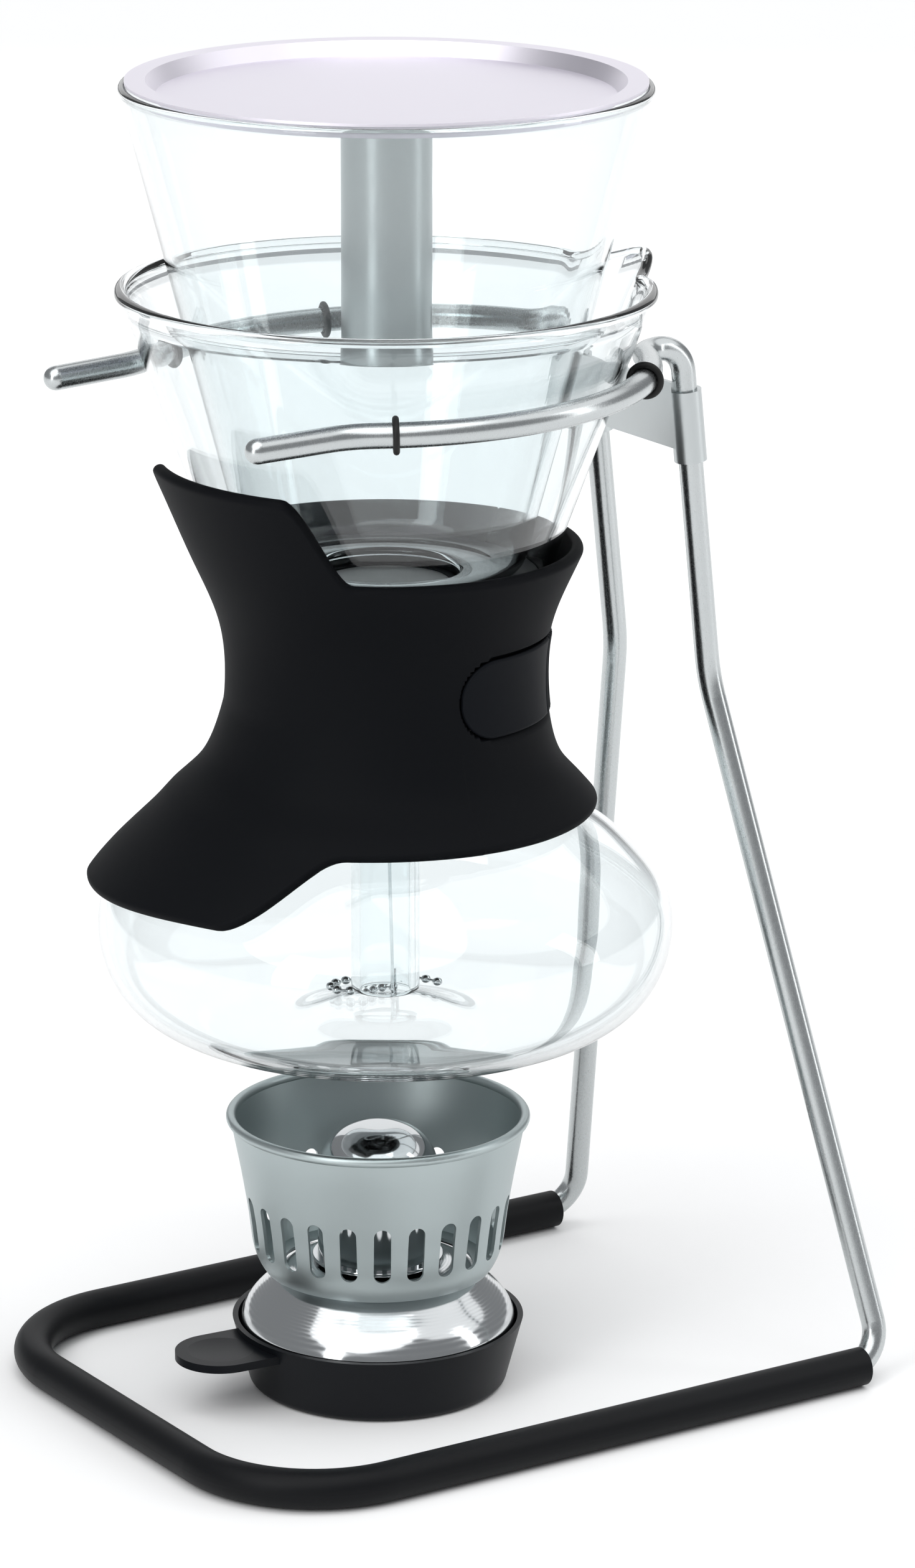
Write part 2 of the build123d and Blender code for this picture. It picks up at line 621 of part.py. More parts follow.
def fuel_tank():
    """Polished top of the tank, drawn up to the neck that holds the wick."""
    top_r, top_z = TANK_SHOULDER
    wall = 0.8
    seam_z = TANK_RIM_Z - 0.7
    side = [(TANK_R - 0.3, TANK_RIM_Z + 0.6), *TANK_SIDE]
    outer = [(TANK_R, seam_z), (TANK_R, TANK_RIM_Z), *side, (top_r, top_z),
             (TANK_NECK_R, top_z + 0.4), (TANK_NECK_R, TANK_NECK_Z)]
    inner = [(TANK_NECK_R - wall, TANK_NECK_Z), (TANK_NECK_R - wall, top_z + 0.4 - wall),
             (top_r, top_z - wall)]
    inner += [(r - wall * 0.7, z - wall * 0.7) for r, z in reversed(TANK_SIDE)]
    inner += [(TANK_R - wall, TANK_RIM_Z), (TANK_R - wall, seam_z)]
    return shift_burner(turned(outer + inner))


def wick_collar():
    """Threaded holder screwed on the neck; its plate carries the wick tube."""
    low = TANK_SHOULDER[1] + 0.6
    return shift_burner(turned([(TANK_NECK_R, low), (COLLAR_OUT_R, low), (COLLAR_OUT_R, COLLAR_TOP_Z),
                                (WICK_TUBE_R, COLLAR_TOP_Z), (WICK_TUBE_R, TANK_NECK_Z),
                                (TANK_NECK_R, TANK_NECK_Z)]))


def wick_tube():
    height = WICK_TUBE_TOP_Z - WICK_TUBE_LOW_Z
    tube = Cylinder(WICK_TUBE_R, height) - Cylinder(WICK_TUBE_BORE_R, height)
    return shift_burner(Pos(0, 0, WICK_TUBE_LOW_Z + height / 2) * tube)


def wick():
    height = WICK_TOP_Z - WICK_LOW_Z
    return shift_burner(Pos(0, 0, WICK_LOW_Z + height / 2) * Cylinder(WICK_R, height))


def windshield():
    """Spun cup with a ring of slots, open below where it rests on the tank."""
    wall = SHIELD_WALL
    outer = SHIELD_SIDE
    inner = inset(outer, wall)
    foot_r, foot_z = outer[-1]
    wall_ring = ring_section(outer, inner)
    foot = turned([outer[-1], inner[-1], (SHIELD_HOLE_R, foot_z + 0.3), (SHIELD_HOLE_R, foot_z - 0.6)])
    bead = Pos(0, 0, SHIELD_RIM_Z - SHIELD_BEAD_R) * Torus(SHIELD_RIM_R - SHIELD_BEAD_R, SHIELD_BEAD_R)
    slot = SlotOverall(SLOT_HIGH_Z - SLOT_LOW_Z, SLOT_WIDTH, rotation=90)
    cutter = Pos(0, 0, (SLOT_LOW_Z + SLOT_HIGH_Z) / 2) * extrude(Plane.YZ * slot, 60)
    shape = wall_ring + foot + bead
    for step in range(SLOT_COUNT):
        shape = shape - Rot(0, 0, SLOT_FIRST_ANGLE + step * 360 / SLOT_COUNT) * cutter
    return shift_burner(shape)


def snuffer_cap():
    """Tall dome with a small flange at its mouth."""
    inner_r = CAP_R - CAP_WALL
    outer = FilletPolyline((CAP_R, CAP_LOW_Z), (CAP_R, CAP_TOP_Z), (0, CAP_TOP_Z),
                           radius=CAP_DOME_R)
    inner = FilletPolyline((inner_r, CAP_LOW_Z), (inner_r, CAP_TOP_Z - CAP_WALL),
                           (0, CAP_TOP_Z - CAP_WALL), radius=CAP_DOME_R - CAP_WALL)
    shell = turned_curve([*outer.edges(), *inner.edges(), Line(outer @ 0, inner @ 0),
                          Line(outer @ 1, inner @ 1)])
    flange = turned([(CAP_R - CAP_WALL, CAP_LOW_Z), (CAP_FLANGE_R, CAP_LOW_Z),
                     (CAP_FLANGE_R, CAP_LOW_Z + 1.0), (CAP_R - CAP_WALL, CAP_LOW_Z + 1.0)])
    return shift_burner(shell + flange)


def cap_liner():
    """Sleeve inside the cap that slides over the wick holder."""
    height = 12.0
    outside = CAP_R - CAP_WALL - 0.45
    ring = Cylinder(outside, height) - Cylinder(COLLAR_OUT_R + 0.4, height)
    return shift_burner(Pos(0, 0, CAP_LOW_Z + 0.4 + height / 2) * ring)


# ---------------------------------------------------------------- write the pieces
leg_rod = bar(stand_path(), ROD_R)
near_arm = arm(-1)
far_arm = arm(1)
save("leg_frame", leg_rod)
save("base_tube", base_tube(leg_rod))
save("arm_near", near_arm)
save("arm_far", far_arm)
save("rear_bracket", bracket([leg_rod, near_arm, far_arm]))
for name, degrees in RING_ANGLES.items():
    save(name, arm_ring(degrees))

for piece in (lower_bowl, grip_sleeve, sleeve_strap, fastening_patch):
    save(piece.__name__, piece())

for piece in (upper_bowl, bowl_gasket, lid_plate, lid_tube):
    save(piece.__name__, piece())
for piece in (filter_screen, filter_seal, filter_frame, filter_spring, filter_hook, filter_chain):
    save(piece.__name__, piece())
for piece in (burner_tray, tank_bottom, fuel_tank, wick_collar, wick_tube, wick, windshield,
              snuffer_cap, cap_liner):
    save(piece.__name__, piece())
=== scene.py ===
"""Looks of the siphon coffee maker, in the frame of the CAD model.

Sizes are millimetres and angles degrees, unless a comment says otherwise.
"""
import bmesh
import bpy
import math
import numpy as np
from mathutils import Matrix, Vector


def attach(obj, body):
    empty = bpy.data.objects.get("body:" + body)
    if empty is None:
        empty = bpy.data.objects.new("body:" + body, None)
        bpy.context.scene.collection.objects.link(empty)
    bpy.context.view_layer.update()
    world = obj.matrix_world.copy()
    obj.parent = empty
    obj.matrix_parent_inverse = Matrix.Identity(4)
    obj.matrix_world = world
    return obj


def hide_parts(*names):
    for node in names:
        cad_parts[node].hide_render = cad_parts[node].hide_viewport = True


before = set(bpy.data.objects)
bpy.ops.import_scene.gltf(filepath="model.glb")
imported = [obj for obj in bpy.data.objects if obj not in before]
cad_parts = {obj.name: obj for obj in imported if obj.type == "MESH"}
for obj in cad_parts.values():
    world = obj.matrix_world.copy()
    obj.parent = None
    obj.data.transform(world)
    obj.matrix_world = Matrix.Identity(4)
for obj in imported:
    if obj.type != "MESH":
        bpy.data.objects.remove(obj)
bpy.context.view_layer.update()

MM = 0.001


# ---------------------------------------------------------------- camera
CAMERA_AT = (-921.3, -1444.2, 668.2)
CAMERA_HEADING = -33.217        # degrees about Z, from looking along +Y
CAMERA_DIP = 15.925
CAMERA_ROLL = 0.268
CAMERA_LENS = 144.14            # millimetres on a 36 mm sensor


def make_camera():
    data = bpy.data.cameras.new("camera")
    data.lens = CAMERA_LENS
    data.sensor_width = 36
    camera = bpy.data.objects.new("camera", data)
    bpy.context.scene.collection.objects.link(camera)
    turn = (Matrix.Rotation(math.radians(CAMERA_HEADING), 4, "Z")
            @ Matrix.Rotation(math.radians(90 - CAMERA_DIP), 4, "X")
            @ Matrix.Rotation(math.radians(CAMERA_ROLL), 4, "Z"))
    camera.matrix_world = Matrix.Translation(Vector(CAMERA_AT) * MM) @ turn
    bpy.context.scene.camera = camera


make_camera()
bpy.context.scene.view_settings.view_transform = "Standard"


# ---------------------------------------------------------------- bead chain, in metres
CHAIN_ROUTE = [(0.0090, 0.0076, 0.1160), (0.0090, 0.0110, 0.1158), (0.0046, 0.0122, 0.1157),
               (-0.0016, 0.0088, 0.1157), (-0.0084, 0.0110, 0.1157), (-0.0086, 0.0174, 0.1157),
               (-0.0020, 0.0206, 0.1157), (0.0064, 0.0194, 0.1157), (0.0142, 0.0166, 0.1157),
               (0.0200, 0.0108, 0.1157), (0.0220, 0.0044, 0.1152)]
BEAD_R = 0.00145
LINK_R = 0.0004
LINK_OVERLAP = 1.1              # each length of wire is this much longer than its step
BEAD_COUNT = 16
LINKS = 3 * BEAD_COUNT


def chain_line():
    """Points of the smooth line through the chain's beads."""
    data = bpy.data.curves.new("chain_line", "CURVE")
    data.dimensions = "3D"
    data.resolution_u = 24
    spline = data.splines.new("NURBS")
    spline.points.add(len(CHAIN_ROUTE) - 1)
    for point, at in zip(spline.points, CHAIN_ROUTE):
        point.co = (*at, 1)
    spline.order_u = 3
    spline.use_endpoint_u = True
    line = bpy.data.objects.new("chain_line", data)
    bpy.context.scene.collection.objects.link(line)
    mesh = bpy.data.meshes.new_from_object(line)
    points = [vertex.co.copy() for vertex in mesh.vertices]
    bpy.data.meshes.remove(mesh)
    bpy.data.objects.remove(line)
    bpy.data.curves.remove(data)
    return points


def chain_beads(points):
    """Beads at even steps along the line, joined by a thin wire."""
    work = bmesh.new()
    steps = np.array([0.0] + [(b - a).length for a, b in zip(points, points[1:])]).cumsum()
    table = np.array(points)

    def at(distance):
        return Vector([float(np.interp(distance, steps, table[:, axis])) for axis in range(3)])

    total = float(steps[-1])
    for k in range(BEAD_COUNT):
        where = at(BEAD_R + (total - 2 * BEAD_R) * k / (BEAD_COUNT - 1))
        bmesh.ops.create_uvsphere(work, u_segments=20, v_segments=14, radius=BEAD_R,
                                  matrix=Matrix.Translation(where))
    for k in range(LINKS):
        start = at(total * k / LINKS)
        run = at(total * (k + 1) / LINKS) - start
        turn = run.to_track_quat("Z", "Y").to_matrix().to_4x4()
        bmesh.ops.create_cone(work, cap_ends=True, segments=10, radius1=LINK_R, radius2=LINK_R,
                              depth=run.length * LINK_OVERLAP,
                              matrix=Matrix.Translation(start + run / 2) @ turn)
    data = bpy.data.meshes.new("bead_chain")
    work.to_mesh(data)
    work.free()
    data.shade_smooth()
    data.set_sharp_from_angle(angle=math.radians(50))
    piece = bpy.data.objects.new("bead_chain", data)
    bpy.context.scene.collection.objects.link(piece)
    return piece


chain_points = chain_line()
chain = chain_beads(chain_points)
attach(chain, "brew_bowl")
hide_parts("filter_chain")


# ---------------------------------------------------------------- mesh helpers
def ease(x):
    """Smooth step from 0 to 1."""
    x = np.clip(x, 0, 1)
    return x * x * (3 - 2 * x)


def smooth(points, steps=12):
    """Cubic spline through points, straight at both ends, paced by the root of each chord."""
    p = np.array(points, float)
    n = len(p)
    t = np.concatenate([[0], np.cumsum(np.sqrt(np.linalg.norm(np.diff(p, axis=0), axis=1)))])
    h = np.diff(t)
    system = np.eye(n)
    right = np.zeros_like(p)
    for i in range(1, n - 1):
        system[i, i - 1:i + 2] = h[i - 1], 2 * (h[i - 1] + h[i]), h[i]
        right[i] = 6 * ((p[i + 1] - p[i]) / h[i] - (p[i] - p[i - 1]) / h[i - 1])
    bend = np.linalg.solve(system, right)
    out = []
    for i in range(n - 1):
        last = i == n - 2
        for u in np.linspace(0, h[i], steps + 1)[:None if last else -1]:
            v = h[i] - u
            out.append((bend[i] * v ** 3 + bend[i + 1] * u ** 3) / (6 * h[i])
                       + (p[i] / h[i] - bend[i] * h[i] / 6) * v
                       + (p[i + 1] / h[i] - bend[i + 1] * h[i] / 6) * u)
    return [tuple(q) for q in out]


def rounded(corners, steps=6):
    """Polyline whose corners (x, y, radius) are rounded by arcs; radius 0 keeps a corner."""
    out = []
    for i, (x, y, radius) in enumerate(corners):
        here = Vector((x, y))
        if radius == 0 or i in (0, len(corners) - 1):
            out.append((x, y))
            continue
        back = (Vector(corners[i - 1][:2]) - here).normalized()
        ahead = (Vector(corners[i + 1][:2]) - here).normalized()
        half = back.angle(ahead) / 2
        reach = radius / math.tan(half)
        centre = here + (back + ahead).normalized() * (radius / math.sin(half))
        start = here + back * reach - centre
        end = here + ahead * reach - centre
        sweep = start.angle_signed(end)
        for k in range(steps + 1):
            spoke = start.copy()
            spoke.rotate(Matrix.Rotation(-sweep * k / steps, 2))
            out.append(tuple(centre + spoke))
    return out


def ring(r, z, radius, angles):
    """Points of a round bead's outline at some angles."""
    return [(r + radius * math.cos(math.radians(a)), z + radius * math.sin(math.radians(a)))
            for a in angles]


def offset(points, wall):
    """Outline moved to the left of its direction of travel by wall."""
    p = np.array(points, float)
    run = np.gradient(p, axis=0)
    run /= np.linalg.norm(run, axis=1)[:, None]
    return [tuple(q) for q in p + wall * np.stack([-run[:, 1], run[:, 0]], axis=1)]


def add_mesh(name, points, faces, sharp=35):
    """Mesh object from points in millimetres, smooth except at edges sharper than an angle."""
    data = bpy.data.meshes.new(name)
    data.from_pydata([tuple(c * MM for c in p) for p in points], [], faces)
    data.validate()
    data.shade_smooth()
    data.set_sharp_from_angle(angle=math.radians(sharp))
    piece = bpy.data.objects.new(name, data)
    bpy.context.scene.collection.objects.link(piece)
    return piece


ON_AXIS = 1e-6                  # an outline's point this near the axis is one vertex


def lathe(name, outline, turns=160, closed=True, centre=(0, 0), shape=None, sharp=35):
    """Solid of revolution of a (radius, z) outline; shape(radius, z, radians) may move a point."""
    points = []
    rings = []
    for r, z in outline:
        if r < ON_AXIS:
            rings.append([len(points)] * turns)
            points.append((centre[0], centre[1], z))
            continue
        rings.append(list(range(len(points), len(points) + turns)))
        for k in range(turns):
            angle = 2 * math.pi * k / turns
            rr, zz = shape(r, z, angle) if shape else (r, z)
            points.append((centre[0] + rr * math.cos(angle), centre[1] + rr * math.sin(angle), zz))
    faces = []
    pairs = list(zip(rings, rings[1:]))
    if closed:
        pairs.append((rings[-1], rings[0]))
    for low, high in pairs:
        for k in range(turns):
            n = (k + 1) % turns
            face = list(dict.fromkeys((low[k], low[n], high[n], high[k])))
            if len(face) > 2:
                faces.append(face)
    piece = add_mesh(name, points, faces, sharp)
    outward(piece)
    return piece


def outward(piece):
    """Turns all faces of a closed mesh outwards."""
    work = bmesh.new()
    work.from_mesh(piece.data)
    bmesh.ops.recalc_face_normals(work, faces=work.faces)
    work.to_mesh(piece.data)
    work.free()


# ---------------------------------------------------------------- materials
BURNER = (-1.7, 1.1)            # centre of the burner


def material(name, color, **sockets):
    """Principled material; keyword names are its sockets with _ for spaces."""
    mat = bpy.data.materials.new(name)
    mat.use_nodes = True
    shader = mat.node_tree.nodes["Principled BSDF"]
    shader.inputs["Base Color"].default_value = (*color, 1)
    for key, value in sockets.items():
        shader.inputs[key.replace("_", " ")].default_value = value
    return mat


def texture(mat, kind, scale, **settings):
    """Procedural texture on object coordinates, in turns per metre; returns its node."""
    tree = mat.node_tree
    coords = tree.nodes.new("ShaderNodeTexCoord")
    stretch = tree.nodes.new("ShaderNodeMapping")
    stretch.inputs["Scale"].default_value = scale if isinstance(scale, tuple) else (scale,) * 3
    node = tree.nodes.new(kind)
    tree.links.new(coords.outputs["Object"], stretch.inputs["Vector"])
    tree.links.new(stretch.outputs["Vector"], node.inputs["Vector"])
    for key, value in settings.items():
        node.inputs[key.replace("_", " ")].default_value = value
    return node


def bump(mat, source, distance, strength=1.0):
    """Raises the surface by a texture's value, distance in millimetres."""
    tree = mat.node_tree
    node = tree.nodes.new("ShaderNodeBump")
    node.inputs["Distance"].default_value = distance * MM
    node.inputs["Strength"].default_value = strength
    tree.links.new(source, node.inputs["Height"])
    tree.links.new(node.outputs["Normal"], tree.nodes["Principled BSDF"].inputs["Normal"])


def vary(mat, source, socket, low, high):
    """Varies a socket between two values by a texture's value."""
    tree = mat.node_tree
    node = tree.nodes.new("ShaderNodeMapRange")
    node.inputs["To Min"].default_value = low
    node.inputs["To Max"].default_value = high
    tree.links.new(source, node.inputs["Value"])
    tree.links.new(node.outputs["Result"], tree.nodes["Principled BSDF"].inputs[socket])


def tint(mat, source, low, high):
    """Colour between two by a texture's value."""
    tree = mat.node_tree
    node = tree.nodes.new("ShaderNodeValToRGB")
    node.color_ramp.elements[0].color = (*low, 1)
    node.color_ramp.elements[1].color = (*high, 1)
    tree.links.new(source, node.inputs["Fac"])
    tree.links.new(node.outputs["Color"], tree.nodes["Principled BSDF"].inputs["Base Color"])


def brushed(name, color, rough, grain=(900, 900, 60)):
    """Satin metal with a fine grain along Z."""
    mat = material(name, color, Metallic=1.0, Roughness=rough)
    noise = texture(mat, "ShaderNodeTexNoise", grain, Detail=3.0)
    vary(mat, noise.outputs["Fac"], "Roughness", rough - 0.06, rough + 0.08)
    bump(mat, noise.outputs["Fac"], 0.002, 0.35)
    return mat


def turned_metal(name, color, rough):
    """Polished metal with the fine rings that a lathe leaves, about the burner's axis."""
    mat = material(name, color, Metallic=1.0, Roughness=rough)
    tree = mat.node_tree
    coords = tree.nodes.new("ShaderNodeTexCoord")
    centre = tree.nodes.new("ShaderNodeMapping")
    centre.inputs["Location"].default_value = (-BURNER[0] * MM, -BURNER[1] * MM, 0)
    rings = tree.nodes.new("ShaderNodeTexWave")
    rings.wave_type = "RINGS"
    rings.rings_direction = "Z"
    rings.inputs["Scale"].default_value = 420.0
    rings.inputs["Distortion"].default_value = 1.2
    rings.inputs["Detail"].default_value = 3.0
    tree.links.new(coords.outputs["Object"], centre.inputs["Vector"])
    tree.links.new(centre.outputs["Vector"], rings.inputs["Vector"])
    vary(mat, rings.outputs["Fac"], "Roughness", rough * 0.7, rough * 1.5)
    bump(mat, rings.outputs["Fac"], 0.006, 0.5)
    return mat


def polished(name, color, rough):
    """Bright metal with slow changes of roughness."""
    mat = material(name, color, Metallic=1.0, Roughness=rough)
    noise = texture(mat, "ShaderNodeTexNoise", 40.0, Detail=2.0)
    vary(mat, noise.outputs["Fac"], "Roughness", rough * 0.7, rough * 1.4)
    return mat


def rubber(name, color, rough, grain, depth, shine=0.22):
    """Rubber or cloth with a fine grain, depth millimetres deep."""
    mat = material(name, color, Roughness=rough, Specular_IOR_Level=shine)
    noise = texture(mat, "ShaderNodeTexNoise", float(grain), Detail=4.0)
    vary(mat, noise.outputs["Fac"], "Roughness", rough - 0.06, rough + 0.08)
    bump(mat, noise.outputs["Fac"], depth, 0.6)
    return mat


GLASS = material("heat_glass", (0.932, 0.960, 0.965), Roughness=0.0, IOR=1.47,
                 Transmission_Weight=1.0)
ROD = brushed("rod_steel", (0.52, 0.545, 0.55), 0.25, (500, 500, 120))
BRACKET = brushed("bracket_steel", (0.52, 0.55, 0.555), 0.30)
SATIN = brushed("satin_steel", (0.42, 0.45, 0.455), 0.30, (1400, 1400, 60))
BRIGHT = polished("bright_steel", (0.66, 0.69, 0.70), 0.12)
POLISHED = polished("polished_steel", (0.54, 0.56, 0.57), 0.09)
TURNED = turned_metal("turned_steel", (0.56, 0.58, 0.59), 0.13)
MATT_ALUMINIUM = brushed("matt_aluminium", (0.46, 0.52, 0.525), 0.40, (1500, 1500, 1500))
LID_METAL = brushed("lid_metal", (0.80, 0.77, 0.84), 0.42, (1200, 1200, 1200))
FOOT_RUBBER = rubber("foot_rubber", (0.0045, 0.005, 0.006), 0.45, 900, 0.05, 0.13)
RING_RUBBER = rubber("ring_rubber", (0.012, 0.012, 0.012), 0.5, 900, 0.02)
SLEEVE_RUBBER = rubber("sleeve_rubber", (0.0032, 0.0038, 0.005), 0.62, 2200, 0.05, 0.07)
STRAP_RUBBER = rubber("strap_rubber", (0.0055, 0.0065, 0.0085), 0.5, 2200, 0.04, 0.05)
GASKET = rubber("gasket_silicone", (0.016, 0.018, 0.02), 0.45, 700, 0.05)
TRAY_RUBBER = rubber("tray_rubber", (0.006, 0.007, 0.009), 0.38, 1200, 0.03, 0.14)
MESH_METAL = brushed("filter_mesh", (0.86, 0.85, 0.83), 0.60, (900, 900, 900))
cells = texture(MESH_METAL, "ShaderNodeTexVoronoi", 1500.0)
tint(MESH_METAL, cells.outputs["Distance"], (0.93, 0.92, 0.90), (0.45, 0.45, 0.44))
COTTON = rubber("wick_cotton", (0.70, 0.66, 0.58), 0.9, 1500, 0.2)
PATCH = rubber("patch_fabric", (0.02, 0.02, 0.02), 0.9, 3000, 0.1)


def dress(piece, mat):
    piece.data.materials.clear()
    piece.data.materials.append(mat)


def dress_node(node, mat):
    """Better material on a CAD node that stays."""
    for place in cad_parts[node].material_slots:
        place.material = mat


def stand_for(piece, node, body, mat):
    """A new piece takes a CAD node's place."""
    dress(piece, mat)
    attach(piece, body)
    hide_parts(node)


# ---------------------------------------------------------------- studio
SUN_WIDTH = 70.0
FLOOR_TOP_Z = -0.2
FLOOR_LOW_Z = -20
FLOOR_R = 9000
WORLD_COLOR = (0.95, 0.97, 1.0, 1)
WORLD_STRENGTH = 0.32


def area_light(name, at, look, size, power):
    """Rectangular light; at, look and size are metres."""
    data = bpy.data.lights.new(name, "AREA")
    data.shape = "RECTANGLE"
    data.size, data.size_y = size
    data.energy = power
    lamp = bpy.data.objects.new(name, data)
    bpy.context.scene.collection.objects.link(lamp)
    way = Vector(look) - Vector(at)
    lamp.matrix_world = Matrix.Translation(at) @ way.to_track_quat("-Z", "Y").to_matrix().to_4x4()


def sun_light(name, towards, power):
    """Wide soft light that falls evenly on the whole floor."""
    data = bpy.data.lights.new(name, "SUN")
    data.energy = power
    data.angle = math.radians(SUN_WIDTH)
    lamp = bpy.data.objects.new(name, data)
    bpy.context.scene.collection.objects.link(lamp)
    lamp.matrix_world = (-Vector(towards)).to_track_quat("-Z", "Y").to_matrix().to_4x4()


def studio():
    floor = lathe("floor", [(0, FLOOR_TOP_Z), (FLOOR_R, FLOOR_TOP_Z), (FLOOR_R, FLOOR_LOW_Z),
                            (0, FLOOR_LOW_Z)], turns=64)
    mat = material("floor", (0.93, 0.93, 0.93), Roughness=0.9)
    noise = texture(mat, "ShaderNodeTexNoise", 3.0)
    vary(mat, noise.outputs["Fac"], "Roughness", 0.85, 0.95)
    dress(floor, mat)
    world = bpy.data.worlds.new("studio")
    world.use_nodes = True
    world.node_tree.nodes["Background"].inputs["Color"].default_value = WORLD_COLOR
    world.node_tree.nodes["Background"].inputs["Strength"].default_value = WORLD_STRENGTH
    bpy.context.scene.world = world
    sun_light("sun_left", (-0.7, -0.5, 1.6), 1.75)
    sun_light("sun_right", (0.8, -0.2, 1.5), 1.0)
    area_light("key", (-1.6, -0.6, 0.9), (0, 0, 0.2), (0.5, 1.6), 9)
    area_light("fill", (1.5, -1.1, 0.8), (0, 0, 0.2), (0.35, 1.4), 5)
    area_light("back", (1.15, 1.75, 1.0), (0, 0, 0.36), (2.4, 1.2), 8)


studio()


# ---------------------------------------------------------------- lower bowl
CARAFE_WALL = 2.2
CARAFE_RIM = (73.8, 321.8)
CARAFE_BEAD_R = 1.75
CARAFE_CONE = [(74.3, 321.0), (49.6, 252.0)]
CONE_STEPS = 12
CONE_LEAD = (2.53, 7.0)         # a point this far back up the cone sets the waist's direction
WAIST_STEPS = 8
CARAFE_WAIST = [(45.3, 238.0), (42.3, 223.0), (41.6, 209.0), (44.6, 191.0), (53.0, 175.5),
                (63.5, 166.6), (73.5, 157.3), (79.8, 149.0), (81.9, 141.0), (80.6, 130.0),
                (74.5, 119.0), (64.0, 111.8), (50.0, 108.4), (34.0, 107.6), (25.0, 108.6),
                (16.0, 111.2), (8.0, 111.6), (0.0, 111.6)]
SPOUT_ANGLE = math.radians(-8.0)
SPOUT_ROOT_Z = 292.0
SPOUT_RUN = 30.0                # height over which the spout grows
LIP_HALF = 9.5
LIP_OUT = 6.2
LIP_UP = 4.2
FOLD_AT = 17.0                  # the glass is pulled in at this distance on both sides
FOLD_HALF = 5.0
FOLD_IN = 1.3


def spout(r, z, angle):
    """Pulls the rim outwards and up into a pouring lip."""
    turn = (angle - SPOUT_ANGLE + math.pi) % (2 * math.pi) - math.pi
    grow = float(ease((z - SPOUT_ROOT_Z) / SPOUT_RUN))
    side = turn * r
    lip = math.exp(-(side / LIP_HALF) ** 2) * grow
    fold = math.exp(-((abs(side) - FOLD_AT) / FOLD_HALF) ** 2) * grow
    return r + LIP_OUT * lip - FOLD_IN * fold, z + LIP_UP * lip


def carafe_outline():
    """Inside from the axis up, round the rim's bead, and down the outside back to the axis."""
    (top_r, top_z), (low_r, low_z) = CARAFE_CONE
    cone = [(top_r + (low_r - top_r) * k / CONE_STEPS, top_z + (low_z - top_z) * k / CONE_STEPS)
            for k in range(CONE_STEPS)]
    lead = (low_r + CONE_LEAD[0], low_z + CONE_LEAD[1])
    outer = cone + smooth([lead, (low_r, low_z)] + CARAFE_WAIST, WAIST_STEPS)[WAIST_STEPS:]
    outer[-1] = (0.0, outer[-1][1])
    inner = offset(outer, -CARAFE_WALL)
    inner[-1] = (0.0, inner[-1][1])
    return inner[::-1] + ring(*CARAFE_RIM, CARAFE_BEAD_R, range(190, -40, -23)) + outer


def lower_bowl():
    bowl = lathe("carafe_glass", carafe_outline(), turns=288, closed=False, shape=spout, sharp=60)
    stand_for(bowl, "lower_bowl", "carafe", GLASS)


lower_bowl()


# ---------------------------------------------------------------- upper bowl
# down the outside of the bowl, neck and stem, and back up their inside: radius, z, rounding
BREW_OUTLINE = [(73.6, 377.0, 0), (38.3, 241.9, 9.0), (23.0, 241.9, 1.6), (23.0, 235.8, 3.0),
                (9.8, 235.8, 2.5), (9.8, 118.2, 1.3), (7.1, 118.2, 1.3), (7.1, 238.0, 2.5),
                (20.8, 238.0, 1.0), (20.8, 244.1, 1.6), (36.6, 244.1, 6.8), (71.35, 377.0, 0)]
BREW_RIM = (72.75, 378.6)
BREW_BEAD_R = 1.2


def upper_bowl():
    outline = rounded(BREW_OUTLINE, 8) + ring(*BREW_RIM, BREW_BEAD_R, range(200, -30, -20))
    bowl = lathe("brew_bowl_glass", outline, turns=224, sharp=60)
    stand_for(bowl, "upper_bowl", "brew_bowl", GLASS)


upper_bowl()


# ---------------------------------------------------------------- grip sleeve and strap
SLEEVE_WALL = 3.6
SLEEVE_EDGE = 1.5               # length of the rounding at the rubber's edges
SLEEVE_POINTS = 96              # from the upper to the lower edge
SLEEVE_THINNEST = 0.0004        # square of the share of the wall left at the very edge
SLEEVE_STEP = 1.25              # degrees between columns, finer round the strap's free end
SLEEVE_FINE_STEP = 0.3
SLEEVE_FINE = (-3.0, 18.0)      # degrees from STRAP_END
SLEEVE_OUTER = [(71.5, 285.0), (62.9, 266.0), (54.6, 246.5), (47.2, 228.5), (45.4, 212.0),
                (46.6, 199.0), (50.0, 188.0), (55.8, 181.0), (62.5, 173.3), (71.5, 163.0),
                (80.0, 152.0)]
LOBE_STAND_OFF = [(150.0, 7.2), (162.6, 5.8), (173.3, 4.1), (179.3, 4.0), (186.6, 2.6),
                  (205.0, 0.0)]         # z, extra radius
SLEEVE_TOP_Z = 249.5
SLEEVE_LOW_Z = 175.4
WING_TOP_Z = 274.8
WING_LOW_Z = 157.6
# middle angle, half width, half the width of its slope, radius at which they are measured
WING_TOP = (-174.0, 34.0, 7.5, 62.0)
WING_LOW = (-185.0, 45.0, 12.0, 72.0)
WING_STAND_OFF = (-185.0, 51.0, 22.0, 66.0)
LOBE_LEVEL_END = -155.0         # beyond this angle the lobe droops
LOBE_DROOP_RUN = 58.0
LOBE_DROOP = 4.0
SLIT_ANGLE = 16.0
SLIT_HALF = 0.7
SLIT_R = 46.0
STRAP_Z = 213.7
STRAP_R = 46.2
STRAP_HALF = 11.2
STRAP_PROUD = 0.5
STRAP_THICK = 1.2
STRAP_END = -95.0
STRAP_ROOT = 5.0
STRAP_TIP = 13.5                # degrees of its rounded end
STRAP_TIP_START = 0.12          # share of the tip, before squaring, where the mesh begins
STRAP_STEP = 0.5
STRAP_POINTS = 40               # across the strap
STRAP_EDGE = 0.7                # width of the rounding along its edges
STRAP_EDGE_DROP = 0.5
RIB_START = -45.0
